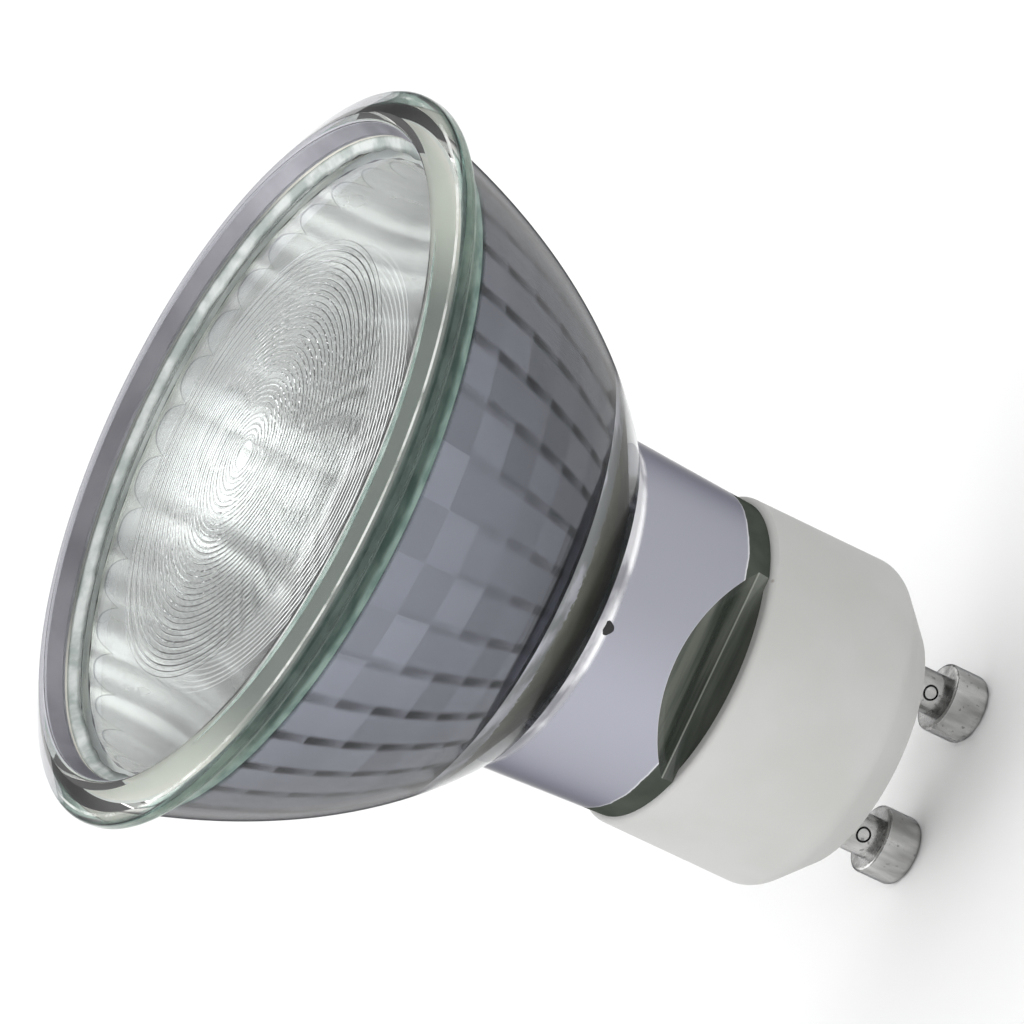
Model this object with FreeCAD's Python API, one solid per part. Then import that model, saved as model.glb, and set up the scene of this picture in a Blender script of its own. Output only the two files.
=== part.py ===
# Mains halogen reflector lamp with a twist-and-lock pin base.
# Millimetres, +Z out of the lens, origin on the axis at the pins' ends.
# The two pins lie along X and the flats of the glass neck face along Y.
import FreeCAD, Part
import math
import os

# Contact pins
PIN_SPACING = 10.0
PIN_LENGTH = 7.0
PIN_HEAD_RADIUS = 2.3
PIN_HEAD_LENGTH = 2.7
PIN_END_ROUNDING = 0.6
PIN_EDGE_ROUNDING = 0.2
PIN_NECK_RADIUS = 1.4
PIN_FLANGE_RADIUS = 2.2
PIN_FLANGE_THICKNESS = 0.6
PIN_BORE_FLOOR = 2.9
CRIMP_HEIGHT = 3.8
CRIMP_RADIUS = 0.52
CRIMP_BUTTON_RADIUS = 0.4
CRIMP_DEPTH = 0.15

# Ceramic base
BASE_RADIUS = 11.3
BASE_LENGTH = 13.3
BASE_FLOOR = 4.3
BASE_WALL = 0.95
BASE_LIP_ROUNDING = 0.4
BASE_BEVEL_WIDTH = 2.6
BASE_BEVEL_LENGTH = 2.8
BASE_BEVEL_ROUNDING = 1.6

# Glass reflector, outside
RIM_RADIUS = 25.0
FLANGE_THICKNESS = 0.85
FLANGE_OVERHANG = 1.4
RIM_ROUNDING = 0.3
CREST_WIDTH = 0.6
CREST_HEIGHT = 1.05
CREST_ROUNDING = 0.2
BOWL_LENGTH = 21.1
BOWL_CENTRE_LEAD = 12.9
BOWL_CURVE_POINTS = 7
NECK_LENGTH = 10.0
NECK_SEAT = 0.55
NECK_TAPER = 0.55
SHOULDER_ROUNDING = 1.2
SPIGOT_FLOOR_GAP = 4.0
SPIGOT_CLEARANCE = 0.15
FLAT_DEPTH = 2.6
FLAT_LENGTH = 0.8
FLAT_RAMP_ANGLE = 37.0

# Glass reflector, inside
MOUTH_FLARE_WIDTH = 0.4
MOUTH_FLARE_HEIGHT = 1.1
LENS_SEAT_WIDTH = 1.1
FACET_COLUMNS = 36
FACET_ROWS = 6
FACET_PHASE = 6.4
FACET_SHORTENING = 0.2
FACET_MOUTH_WALL = 2.15
FACET_END_WALL = 2.5
BOWL_FLOOR_DEPTH = 4.2
NECK_HOLE_RADIUS = 6.0
NECK_HOLE_RISE = 0.7

# Front lens and its bead of adhesive
LENS_CLEARANCE = 0.15
LENS_RECESS = 2.0
LENS_EDGE_THICKNESS = 1.8
LENS_LAND = 1.05
LENS_DOME_RISE = 1.25
LENS_CURVE_POINTS = 4
RING_COUNT = 19
RING_PITCH = 0.78
RING_HEIGHT = 0.14
RING_START = 0.9
BEAD_HEIGHT = 0.7

# Quartz burner
BURNER_RADIUS = 4.75
BURNER_WALL = 1.0
BURNER_SINK = 1.2
BURNER_ROUNDING = 2.7
BURNER_BARREL = 7.5
BURNER_DOME = 3.6
BURNER_TIP_RADIUS = 0.9
BURNER_TIP_LENGTH = 1.4
PINCH_WIDTH = 9.0
PINCH_THICKNESS = 3.2
PINCH_LENGTH = 10.3

# Filament, wires and foils
FILAMENT_HALF_SPAN = 1.8
FILAMENT_RADIUS = 0.5
FILAMENT_FOOT_RISE = 3.6
FILAMENT_LEG = 5.0
SUPPORT_RADIUS = 0.2
SUPPORT_ROOT = 1.2
LEAD_RADIUS = 0.25
FOIL_WIDTH = 2.2
FOIL_THICKNESS = 0.1
FOIL_LENGTH = 7.5
FOIL_TOP_DROP = 0.8
OUTER_LEAD_RADIUS = 0.35
OUTER_LEAD_STUB = 1.5
WIRE_RADIUS = 0.4
WIRE_BORE_CLEARANCE = 0.05
WIRE_STRAIGHT = 0.5

# Cement
NECK_CEMENT_MARGIN = 0.5
BASE_CEMENT_DROP = 2.0
BASE_CEMENT_RECESS = 2.0
BASE_CEMENT_HOLE_RADIUS = 7.0

# Heights along the axis
BASE_BACK_Z = PIN_LENGTH
BASE_FRONT_Z = BASE_BACK_Z + BASE_LENGTH
BASE_FLOOR_Z = BASE_BACK_Z + BASE_FLOOR
PIN_TOP_Z = BASE_FLOOR_Z + PIN_FLANGE_THICKNESS
SPIGOT_END_Z = BASE_FLOOR_Z + SPIGOT_FLOOR_GAP
SHOULDER_Z = BASE_FRONT_Z + NECK_LENGTH
FLANGE_BACK_Z = SHOULDER_Z + BOWL_LENGTH
FLANGE_FRONT_Z = FLANGE_BACK_Z + FLANGE_THICKNESS
CREST_Z = FLANGE_FRONT_Z + CREST_HEIGHT
BOWL_CENTRE_Z = FLANGE_BACK_Z + BOWL_CENTRE_LEAD
LENS_EDGE_Z = CREST_Z - LENS_RECESS
LENS_SEAT_Z = LENS_EDGE_Z - LENS_EDGE_THICKNESS
HOLE_TOP_Z = SHOULDER_Z + NECK_HOLE_RISE
FACET_END_Z = HOLE_TOP_Z + BOWL_FLOOR_DEPTH
BURNER_BOTTOM_Z = HOLE_TOP_Z - BURNER_SINK
PINCH_END_Z = BURNER_BOTTOM_Z - PINCH_LENGTH
FOIL_TOP_Z = BURNER_BOTTOM_Z - FOIL_TOP_DROP
FOIL_END_Z = FOIL_TOP_Z - FOIL_LENGTH
FILAMENT_FOOT_Z = BURNER_BOTTOM_Z + FILAMENT_FOOT_RISE
FILAMENT_BEND_Z = FILAMENT_FOOT_Z + FILAMENT_LEG
OUTER_LEAD_END_Z = PINCH_END_Z - OUTER_LEAD_STUB

# Radii of the base and of the neck that sits on it
BASE_BORE_RADIUS = BASE_RADIUS - BASE_WALL
SPIGOT_RADIUS = BASE_BORE_RADIUS - SPIGOT_CLEARANCE
NECK_END_RADIUS = BASE_BORE_RADIUS + NECK_SEAT
NECK_TOP_RADIUS = NECK_END_RADIUS + NECK_TAPER
FLAT_OFFSET = NECK_END_RADIUS - FLAT_DEPTH
BOWL_MOUTH_RADIUS = RIM_RADIUS - FLANGE_OVERHANG

ORIGIN = FreeCAD.Vector(0, 0, 0)
UP = FreeCAD.Vector(0, 0, 1)
FULL_TURN = 360


def at(radius, height):
    """A point of a turned profile."""
    return FreeCAD.Vector(radius, 0, height)


def line(start, end):
    return Part.LineSegment(start, end).toShape()


def turned(edges):
    """Solid of revolution from the edges of a closed profile, given in order."""
    return Part.Face(Part.Wire(edges)).revolve(ORIGIN, UP, FULL_TURN)


def turned_outline(points):
    """Solid of revolution from a profile with straight sides."""
    return Part.Face(Part.makePolygon(points + points[:1])).revolve(ORIGIN, UP, FULL_TURN)


def rod(radius, low, high, x=0.0):
    """Upright round rod between two heights."""
    return Part.makeCylinder(radius, high - low, FreeCAD.Vector(x, 0, low))


def block(width, depth, low, high, x=0.0):
    """Upright block centred on the XZ plane."""
    return Part.makeBox(width, depth, high - low, FreeCAD.Vector(x - width / 2, -depth / 2, low))


def piped(path, radius, start, direction):
    """Round wire along a path of straight runs and tangent arcs."""
    section = Part.Wire(Part.makeCircle(radius, start, direction))
    return path.makePipeShell([section], True, False)


def round_edges_at(solid, height, radius, rounding):
    """Rounds the circular edge that lies at one height and radius."""
    chosen = []
    for edge in solid.Edges:
        box = edge.BoundBox
        level = abs(box.ZMin - height) < 1e-6 and abs(box.ZMax - height) < 1e-6
        if level and abs(box.XMax - radius) < 1e-4:
            chosen.append(edge)
    return solid.makeFillet(rounding, chosen)


def ellipse_radius(low, high, centre_z):
    """Radius at a height, for an ellipse of revolution through two profile points."""
    low_drop = (low[1] - centre_z) ** 2
    high_drop = (high[1] - centre_z) ** 2
    slope = (high[0] ** 2 - low[0] ** 2) / (low_drop - high_drop)
    square = low[0] ** 2 + slope * low_drop
    return lambda z: math.sqrt(square - slope * (z - centre_z) ** 2)


def curve_through(points):
    spline = Part.BSplineCurve()
    spline.interpolate(points)
    return spline.toShape()


def spaced(low, high, count):
    """Even steps from low to high, both ends counted."""
    return [low + (high - low) * i / (count - 1) for i in range(count)]


# Radii of the faceted bowl, of the mouth above it and of the lens that lies in the mouth
bowl_radius_at = ellipse_radius(
    (NECK_TOP_RADIUS, SHOULDER_Z), (BOWL_MOUTH_RADIUS, FLANGE_BACK_Z), BOWL_CENTRE_Z)
FACET_MOUTH_RADIUS = bowl_radius_at(LENS_SEAT_Z) - FACET_MOUTH_WALL
FACET_END_RADIUS = bowl_radius_at(FACET_END_Z) - FACET_END_WALL
MOUTH_RADIUS = FACET_MOUTH_RADIUS + LENS_SEAT_WIDTH
CREST_INSIDE_RADIUS = MOUTH_RADIUS + MOUTH_FLARE_WIDTH
CREST_OUTSIDE_RADIUS = CREST_INSIDE_RADIUS + CREST_WIDTH
LENS_RADIUS = MOUTH_RADIUS - LENS_CLEARANCE
LENS_DOME_RADIUS = LENS_RADIUS - LENS_LAND


def reflector_outside():
    """Rim, bowl, neck and spigot turned as one solid."""
    bowl = [at(bowl_radius_at(z), z) for z in spaced(SHOULDER_Z, FLANGE_BACK_Z, BOWL_CURVE_POINTS)]
    foot = [
        at(0, SPIGOT_END_Z),
        at(SPIGOT_RADIUS, SPIGOT_END_Z),
        at(SPIGOT_RADIUS, BASE_FRONT_Z),
        at(NECK_END_RADIUS, BASE_FRONT_Z),
        bowl[0],
    ]
    head = [
        bowl[-1],
        at(RIM_RADIUS, FLANGE_BACK_Z),
        at(RIM_RADIUS, FLANGE_FRONT_Z),
        at(CREST_OUTSIDE_RADIUS, CREST_Z),
        at(0, CREST_Z),
        foot[0],
    ]
    edges = [line(a, b) for a, b in zip(foot, foot[1:])]
    edges.append(curve_through(bowl))
    edges += [line(a, b) for a, b in zip(head, head[1:])]
    solid = round_edges_at(turned(edges), SHOULDER_Z, NECK_TOP_RADIUS, SHOULDER_ROUNDING)
    solid = round_edges_at(solid, FLANGE_BACK_Z, RIM_RADIUS, RIM_ROUNDING)
    solid = round_edges_at(solid, FLANGE_FRONT_Z, RIM_RADIUS, RIM_ROUNDING)
    return round_edges_at(solid, CREST_Z, CREST_OUTSIDE_RADIUS, CREST_ROUNDING)


def facet_ring(radius, height):
    """Closed polygon with one corner between each pair of facet columns."""
    corners = []
    for column in range(FACET_COLUMNS + 1):
        angle = math.radians(FACET_PHASE + FULL_TURN * (column % FACET_COLUMNS) / FACET_COLUMNS)
        corners.append(FreeCAD.Vector(radius * math.cos(angle), radius * math.sin(angle), height))
    return Part.makePolygon(corners)


def facet_rows():
    """Corner radius and height of each ring of facet corners, from the mouth to the floor."""
    mouth = (FACET_MOUTH_RADIUS, LENS_SEAT_Z)
    end = (FACET_END_RADIUS, FACET_END_Z)
    radius_at = ellipse_radius(end, mouth, BOWL_CENTRE_Z)
    rows = []
    for share in spaced(0, 1, FACET_ROWS + 1):
        # rows grow shorter towards the floor, so that facets keep about one length along the wall
        depth_share = share * (1 + FACET_SHORTENING * (1 - share))
        height = LENS_SEAT_Z - (LENS_SEAT_Z - FACET_END_Z) * depth_share
        rows.append((radius_at(height), height))
    return rows


def reflector_inside():
    """The hollow: lens mouth, faceted bowl, smooth floor and the hole through the neck."""
    mouth = turned_outline([
        at(0, LENS_SEAT_Z),
        at(MOUTH_RADIUS, LENS_SEAT_Z),
        at(MOUTH_RADIUS, CREST_Z - MOUTH_FLARE_HEIGHT),
        at(CREST_INSIDE_RADIUS, CREST_Z),
        at(0, CREST_Z),
    ])
    bowl = Part.makeLoft([facet_ring(radius, height) for radius, height in facet_rows()], True, True)
    floor_radius = FACET_END_RADIUS * math.cos(math.pi / FACET_COLUMNS)
    floor = turned_outline([
        at(0, SPIGOT_END_Z),
        at(NECK_HOLE_RADIUS, SPIGOT_END_Z),
        at(NECK_HOLE_RADIUS, HOLE_TOP_Z),
        at(floor_radius, FACET_END_Z),
        at(0, FACET_END_Z),
    ])
    return mouth, bowl, floor


def neck_flat(side):
    """What is cut away beside one flat: a level face into the base and a ramp up to the round neck."""
    fold_z = BASE_FRONT_Z + FLAT_LENGTH
    reach = RIM_RADIUS
    ramp_top = fold_z + (reach - FLAT_OFFSET) / math.tan(math.radians(FLAT_RAMP_ANGLE))
    corners = [
        FreeCAD.Vector(-reach, side * FLAT_OFFSET, SPIGOT_END_Z),
        FreeCAD.Vector(-reach, side * FLAT_OFFSET, fold_z),
        FreeCAD.Vector(-reach, side * reach, ramp_top),
        FreeCAD.Vector(-reach, side * reach, SPIGOT_END_Z),
    ]
    face = Part.Face(Part.makePolygon(corners + corners[:1]))
    return face.extrude(FreeCAD.Vector(2 * reach, 0, 0))


def below_shoulder():
    """Bounds the flats to the neck, so that their ramps stop short of the bowl."""
    return Part.makeCylinder(RIM_RADIUS, SHOULDER_Z - SPIGOT_END_Z, FreeCAD.Vector(0, 0, SPIGOT_END_Z))


def reflector():
    solid = reflector_outside()
    for hollow in reflector_inside():
        solid = solid.cut(hollow)
    solid = round_edges_at(solid, CREST_Z, CREST_INSIDE_RADIUS, CREST_ROUNDING)
    for side in (-1, 1):
        solid = solid.cut(neck_flat(side).common(below_shoulder()))
    return solid


def lens_front(radius):
    """Height of the lens dome, before its rings, at a radius."""
    return LENS_EDGE_Z + LENS_DOME_RISE * (1 - (radius / LENS_DOME_RADIUS) ** 2)


def front_lens():
    """Domed disc with a flat land for the adhesive and concentric ridges on its middle."""
    ring_end = RING_START + RING_COUNT * RING_PITCH
    plain = [at(r, lens_front(r)) for r in spaced(LENS_DOME_RADIUS, ring_end, LENS_CURVE_POINTS)]
    rings = [plain[-1]]
    for ring in reversed(range(RING_COUNT)):
        valley = RING_START + ring * RING_PITCH
        top = valley + RING_PITCH / 2
        rings.append(at(top, lens_front(top) + RING_HEIGHT))
        rings.append(at(valley, lens_front(valley)))
    rings += [at(0, lens_front(RING_START)), at(0, LENS_SEAT_Z)]
    edge = [at(0, LENS_SEAT_Z), at(LENS_RADIUS, LENS_SEAT_Z), at(LENS_RADIUS, LENS_EDGE_Z), plain[0]]
    edges = [line(a, b) for a, b in zip(edge, edge[1:])]
    edges.append(curve_through(plain))
    edges += [line(a, b) for a, b in zip(rings, rings[1:])]
    return turned(edges)


def lens_adhesive():
    """Bead in the corner between the lens land and the mouth of the rim."""
    return turned_outline([
        at(LENS_DOME_RADIUS, LENS_EDGE_Z),
        at(MOUTH_RADIUS, LENS_EDGE_Z),
        at(MOUTH_RADIUS, LENS_EDGE_Z + BEAD_HEIGHT),
    ])


def ceramic_base():
    back_corner = BASE_BACK_Z + BASE_BEVEL_LENGTH
    body = turned_outline([
        at(0, BASE_BACK_Z),
        at(BASE_RADIUS - BASE_BEVEL_WIDTH, BASE_BACK_Z),
        at(BASE_RADIUS, back_corner),
        at(BASE_RADIUS, BASE_FRONT_Z),
        at(BASE_BORE_RADIUS, BASE_FRONT_Z),
        at(BASE_BORE_RADIUS, BASE_FLOOR_Z),
        at(0, BASE_FLOOR_Z),
    ])
    body = round_edges_at(body, back_corner, BASE_RADIUS, BASE_BEVEL_ROUNDING)
    body = round_edges_at(body, BASE_FRONT_Z, BASE_RADIUS, BASE_LIP_ROUNDING)
    for side in (-1, 1):
        body = body.cut(rod(PIN_NECK_RADIUS, BASE_BACK_Z, BASE_FLOOR_Z, side * PIN_SPACING / 2))
    return body


def contact_pin(side):
    """Headed hollow pin, riveted over inside the base and crimped on its wire."""
    pin = turned_outline([
        at(0, 0),
        at(PIN_HEAD_RADIUS, 0),
        at(PIN_HEAD_RADIUS, PIN_HEAD_LENGTH),
        at(PIN_NECK_RADIUS, PIN_HEAD_LENGTH),
        at(PIN_NECK_RADIUS, BASE_FLOOR_Z),
        at(PIN_FLANGE_RADIUS, BASE_FLOOR_Z),
        at(PIN_FLANGE_RADIUS, PIN_TOP_Z),
        at(0, PIN_TOP_Z),
    ])
    pin = round_edges_at(pin, 0, PIN_HEAD_RADIUS, PIN_END_ROUNDING)
    pin = round_edges_at(pin, PIN_HEAD_LENGTH, PIN_HEAD_RADIUS, PIN_EDGE_ROUNDING)
    pin = pin.cut(rod(WIRE_RADIUS + WIRE_BORE_CLEARANCE, PIN_BORE_FLOOR, PIN_TOP_Z))
    mark_start = FreeCAD.Vector(0, -PIN_NECK_RADIUS + CRIMP_DEPTH, CRIMP_HEIGHT)
    outward = FreeCAD.Vector(0, -1, 0)
    mark = Part.makeCylinder(CRIMP_RADIUS, PIN_NECK_RADIUS, mark_start, outward)
    button = Part.makeCylinder(CRIMP_BUTTON_RADIUS, PIN_NECK_RADIUS, mark_start, outward)
    pin = pin.cut(mark.cut(button))
    pin.translate(FreeCAD.Vector(side * PIN_SPACING / 2, 0, 0))
    return pin


def burner_profile(inset):
    """Outline of the burner's round bulb, or of its hollow when inset by the wall."""
    radius = BURNER_RADIUS - inset
    low = BURNER_BOTTOM_Z + inset
    barrel_low = BURNER_BOTTOM_Z + BURNER_ROUNDING
    barrel_high = barrel_low + BURNER_BARREL
    top = barrel_high + BURNER_DOME - inset
    slant = math.sqrt(0.5)
    low_mid = at(radius * slant, barrel_low - (barrel_low - low) * slant)
    top_mid = at(radius * slant, barrel_high + (top - barrel_high) * slant)
    low_curve = curve_through([at(0, low), low_mid, at(radius, barrel_low)])
    top_curve = curve_through([at(radius, barrel_high), top_mid, at(0, top)])
    return [
        low_curve,
        line(at(radius, barrel_low), at(radius, barrel_high)),
        top_curve,
        line(at(0, top), at(0, low)),
    ]


def envelope_outside():
    """Quartz bulb with its exhaust tip and flat pinch, before it is hollowed."""
    bulb = turned(burner_profile(0))
    dome_top = BURNER_BOTTOM_Z + BURNER_ROUNDING + BURNER_BARREL + BURNER_DOME
    tip = rod(BURNER_TIP_RADIUS, dome_top - BURNER_WALL / 2, dome_top + BURNER_TIP_LENGTH)
    pinch = block(PINCH_WIDTH, PINCH_THICKNESS, PINCH_END_Z, BURNER_BOTTOM_Z + BURNER_WALL)
    return bulb.fuse([tip, pinch]).removeSplitter()


def capsule_envelope(inner_pieces):
    """The hollow burner, with room in its glass for the foils and wires sealed into it."""
    solid = envelope_outside().cut(turned(burner_profile(BURNER_WALL)))
    for piece in inner_pieces:
        solid = solid.cut(piece)
    return solid


def filament():
    """Coil drawn as its outer tube: two legs joined by an arch at the top."""
    foot = FreeCAD.Vector(FILAMENT_HALF_SPAN, 0, FILAMENT_FOOT_Z)
    bend = FreeCAD.Vector(FILAMENT_HALF_SPAN, 0, FILAMENT_BEND_Z)
    crown = FreeCAD.Vector(0, 0, FILAMENT_BEND_Z + FILAMENT_HALF_SPAN)
    far_bend = FreeCAD.Vector(-FILAMENT_HALF_SPAN, 0, FILAMENT_BEND_Z)
    far_foot = FreeCAD.Vector(-FILAMENT_HALF_SPAN, 0, FILAMENT_FOOT_Z)
    path = Part.Wire([line(foot, bend), Part.Arc(bend, crown, far_bend).toShape(), line(far_bend, far_foot)])
    return piped(path, FILAMENT_RADIUS, foot, UP)


def filament_support():
    """Wire from the pinch to the underside of the filament's arch."""
    arch_inside = FILAMENT_HALF_SPAN - FILAMENT_RADIUS
    arch_under_z = FILAMENT_BEND_Z + math.sqrt(arch_inside ** 2 - SUPPORT_RADIUS ** 2)
    return rod(SUPPORT_RADIUS, BURNER_BOTTOM_Z - SUPPORT_ROOT, arch_under_z)


def lead_in(side):
    return rod(LEAD_RADIUS, FOIL_TOP_Z, FILAMENT_FOOT_Z, side * FILAMENT_HALF_SPAN)


def foil(side):
    return block(FOIL_WIDTH, FOIL_THICKNESS, FOIL_END_Z, FOIL_TOP_Z, side * FILAMENT_HALF_SPAN)


def outer_lead(side):
    return rod(OUTER_LEAD_RADIUS, OUTER_LEAD_END_Z, FOIL_END_Z, side * FILAMENT_HALF_SPAN)


def connecting_wire(side):
    """Wire that steps out from the pinch's lead to the pin and runs down the pin's bore."""
    inner_x = FILAMENT_HALF_SPAN
    outer_x = PIN_SPACING / 2
    step = outer_x - inner_x
    high_z = OUTER_LEAD_END_Z - WIRE_STRAIGHT
    low_z = PIN_TOP_Z + WIRE_STRAIGHT
    drop = high_z - low_z
    turn = 2 * math.atan2(step, drop)
    bend = (step ** 2 + drop ** 2) / (4 * step)

    def point(x, z):
        return FreeCAD.Vector(side * x, 0, z)

    def inner_bend(angle):
        return point(inner_x + bend * (1 - math.cos(angle)), high_z - bend * math.sin(angle))

    def outer_bend(angle):
        return point(outer_x - bend * (1 - math.cos(angle)), low_z + bend * math.sin(angle))

    start = point(inner_x, OUTER_LEAD_END_Z)
    end = point(outer_x, PIN_BORE_FLOOR)
    path = Part.Wire([
        line(start, inner_bend(0)),
        Part.Arc(inner_bend(0), inner_bend(turn / 2), inner_bend(turn)).toShape(),
        Part.Arc(outer_bend(turn), outer_bend(turn / 2), outer_bend(0)).toShape(),
        line(outer_bend(0), end),
    ])
    return piped(path, WIRE_RADIUS, start, UP)


def neck_cement():
    """Plug that fills the neck's hole round the pinch."""
    low = PINCH_END_Z + NECK_CEMENT_MARGIN
    high = BURNER_BOTTOM_Z + NECK_CEMENT_MARGIN
    return rod(NECK_HOLE_RADIUS, low, high).cut(envelope_outside())


def base_cement():
    """Ring under the spigot that also fills the two spaces beside the flats."""
    low = SPIGOT_END_Z - BASE_CEMENT_DROP
    high = BASE_FRONT_Z - BASE_CEMENT_RECESS
    ring = rod(BASE_BORE_RADIUS, low, SPIGOT_END_Z).cut(rod(BASE_CEMENT_HOLE_RADIUS, low, SPIGOT_END_Z))
    sides = rod(BASE_BORE_RADIUS, SPIGOT_END_Z, high)
    between = block(2 * BASE_BORE_RADIUS, 2 * FLAT_OFFSET, SPIGOT_END_Z, high)
    return ring.fuse(sides.cut(between)).removeSplitter()


def build():
    """Every piece by its node name."""
    sides = {"left": -1, "right": 1}
    pieces = {
        "reflector": reflector(),
        "front_lens": front_lens(),
        "lens_adhesive": lens_adhesive(),
        "ceramic_base": ceramic_base(),
        "base_cement": base_cement(),
        "filament": filament(),
        "filament_support": filament_support(),
    }
    in_quartz = [pieces["filament_support"]]
    for name, side in sides.items():
        pieces["contact_pin_" + name] = contact_pin(side)
        pieces["connecting_wire_" + name] = connecting_wire(side)
        for kind, make in (("lead_in", lead_in), ("foil", foil), ("outer_lead", outer_lead)):
            piece = make(side)
            pieces[kind + "_" + name] = piece
            in_quartz.append(piece)
    pieces["capsule_envelope"] = capsule_envelope(in_quartz)
    pieces["neck_cement"] = neck_cement()
    return pieces


os.makedirs("parts", exist_ok=True)
for node, shape in build().items():
    shape.exportStep("parts/" + node + ".step")
    print(node, len(shape.Solids), "solid", round(shape.Volume, 2), "mm3", shape.isValid())
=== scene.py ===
# Dresses the reflector lamp's CAD frame for a studio picture.
# The frame is in metres. Sizes below are in millimetres, and MM turns them into metres.
import math
import random

import bmesh
import bpy
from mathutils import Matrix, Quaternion, Vector, noise


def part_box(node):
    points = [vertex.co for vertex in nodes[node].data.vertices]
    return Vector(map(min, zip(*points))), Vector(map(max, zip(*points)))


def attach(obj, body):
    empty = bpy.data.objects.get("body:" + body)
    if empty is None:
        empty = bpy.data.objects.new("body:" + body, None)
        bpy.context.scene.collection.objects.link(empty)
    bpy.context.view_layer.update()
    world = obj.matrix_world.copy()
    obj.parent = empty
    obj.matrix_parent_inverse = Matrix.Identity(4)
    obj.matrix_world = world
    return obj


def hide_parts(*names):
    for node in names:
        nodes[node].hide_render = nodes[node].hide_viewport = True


MM = 0.001

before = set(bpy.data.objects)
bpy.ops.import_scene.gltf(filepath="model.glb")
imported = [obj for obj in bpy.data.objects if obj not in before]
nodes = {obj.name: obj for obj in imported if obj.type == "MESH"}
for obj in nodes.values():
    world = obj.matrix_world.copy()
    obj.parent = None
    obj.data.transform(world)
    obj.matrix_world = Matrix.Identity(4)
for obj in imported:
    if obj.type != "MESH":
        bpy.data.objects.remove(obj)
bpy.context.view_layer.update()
scene = bpy.context.scene


def top_of(node):
    """Highest point of a CAD node, in millimetres."""
    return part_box(node)[1].z / MM


def bottom_of(node):
    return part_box(node)[0].z / MM


def radius_of(node):
    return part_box(node)[1].x / MM


# Camera, from the photograph's viewing angle
CAMERA_PLACE = Vector((0.0, -701.3, 318.7)) * MM
CAMERA_AIM = Vector((3.93, 0.0, 34.58)) * MM
CAMERA_ROLL = math.radians(64.51)
CAMERA_LENS = 423.2
CAMERA_CLIP = (0.01, 100.0)

# Glass reflector, outside
RIM_RADIUS = radius_of("reflector")
CREST_Z = top_of("reflector")
SPIGOT_END_Z = bottom_of("reflector")
BASE_FRONT_Z = top_of("ceramic_base")
BASE_RADIUS = radius_of("ceramic_base")
SPIGOT_RADIUS = BASE_RADIUS - 1.1
NECK_END_RADIUS = BASE_RADIUS - 0.4
NECK_TOP_RADIUS = NECK_END_RADIUS + 0.55
SHOULDER_Z = BASE_FRONT_Z + 10.0
SHOULDER_ROUNDING = 1.2
FLANGE_FRONT_Z = CREST_Z - 1.05
FLANGE_BACK_Z = FLANGE_FRONT_Z - 0.85
BOWL_MOUTH_RADIUS = RIM_RADIUS - 1.4
BOWL_CENTRE_Z = FLANGE_BACK_Z + 12.9
RIM_ROUNDING = 0.3
CREST_ROUNDING = 0.2
FLAT_OFFSET = NECK_END_RADIUS - 2.6
FLAT_FOLD_Z = BASE_FRONT_Z + 0.8
FLAT_RAMP_ANGLE = math.radians(37.0)
CUTTER_REACH = NECK_TOP_RADIUS + 3.0
CUTTER_LOW_Z = SPIGOT_END_Z - 1.0
REFLECTOR_SHARP_ANGLE = math.radians(28.0)

# Glass reflector, inside
LENS_SEAT_Z = bottom_of("front_lens")
FACET_MOUTH_WALL = 2.15
FACET_END_WALL = 2.5
LENS_SEAT_WIDTH = 1.1
MOUTH_FLARE_WIDTH = 0.4
MOUTH_FLARE_HEIGHT = 1.1
CREST_WIDTH = 0.6
NECK_HOLE_RADIUS = 6.0
NECK_HOLE_TOP_Z = SHOULDER_Z + 0.7
FACET_END_Z = NECK_HOLE_TOP_Z + 4.2
FACET_COLUMNS = 36
FACET_ROWS = 6
FACET_PHASE = math.radians(6.4)
FACET_SHORTENING = 0.2

# Tone of a facet: its middle, its painted light by place round the axis (lighter towards -X), its painted shade
# by row (darker away from the mouth), its chequer and its chance part
FACET_TONE = 0.34
FACET_PAINTED_LIGHT_ROUND = 0.36
FACET_PAINTED_SHADE_ROW = 0.05
FACET_TONE_CHEQUER = 0.14
FACET_TONE_CHANCE = 0.18
FACET_SEED = 7

# Contact pins
PIN_SPACING = 10.0
CRIMP_HEIGHT = 3.8
CRIMP_RADIUS = 0.46

# Mirror coats
FILM_THICKNESS = 0.02
FLUTE_DEPTH = 0.2
FLUTE_ARCH_Z = LENS_SEAT_Z - 0.5
FLUTE_ARCH_DROP = 1.6
FLOOR_COAT_END_Z = FACET_END_Z - 1.4
NECK_COAT_END_Z = BASE_FRONT_Z + 1.6
NECK_COAT_TOP_Z = SHOULDER_Z + 0.85
MOUTH_FILM_INSET = 0.05
MOUTH_FILM_DROP = 0.15
FILM_SHARP_ANGLE = math.radians(20.0)

# Front lens, its bead, and the hairline that keeps faces of touching pieces apart
LENS_RADIUS = radius_of("front_lens")
LENS_EDGE_Z = LENS_SEAT_Z + 1.8
LENS_DOME_RADIUS = LENS_RADIUS - 1.05
LENS_DOME_RISE = 1.25
LENS_CHAMFER = 0.15
LENS_BACK_START = 2.0
LENS_BACK_STEPS = 10
LENS_PLAIN_STEPS = 24
LENS_SHARP_ANGLE = math.radians(14.0)
RING_START = 0.9
GROOVE_COUNT = 36
GROOVE_PITCH = 0.39
GROOVE_DEPTHS = (0.03, 0.018)
GROOVE_HALF = 0.22
GROOVE_PLACES = (0.0, 0.11, 0.22, 0.5, 0.78, 0.89)
BEAD_HEIGHT = 0.7
BEAD_FOOT = 0.4
BEAD_MIDDLE_SHIFT = 0.15
BEAD_MIDDLE_RISE = 0.16
BEAD_WALL_GAP = 0.2
BEAD_WALL_RISE = 0.42
BEAD_TOP_RISE = 0.5
BEAD_LOOSENESS = (0.35, 0.25, 0.08, 0.0, 0.0)
BEAD_WAVES = 14
BEAD_SWELLS = 3
HAIRLINE = 0.02

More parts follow.
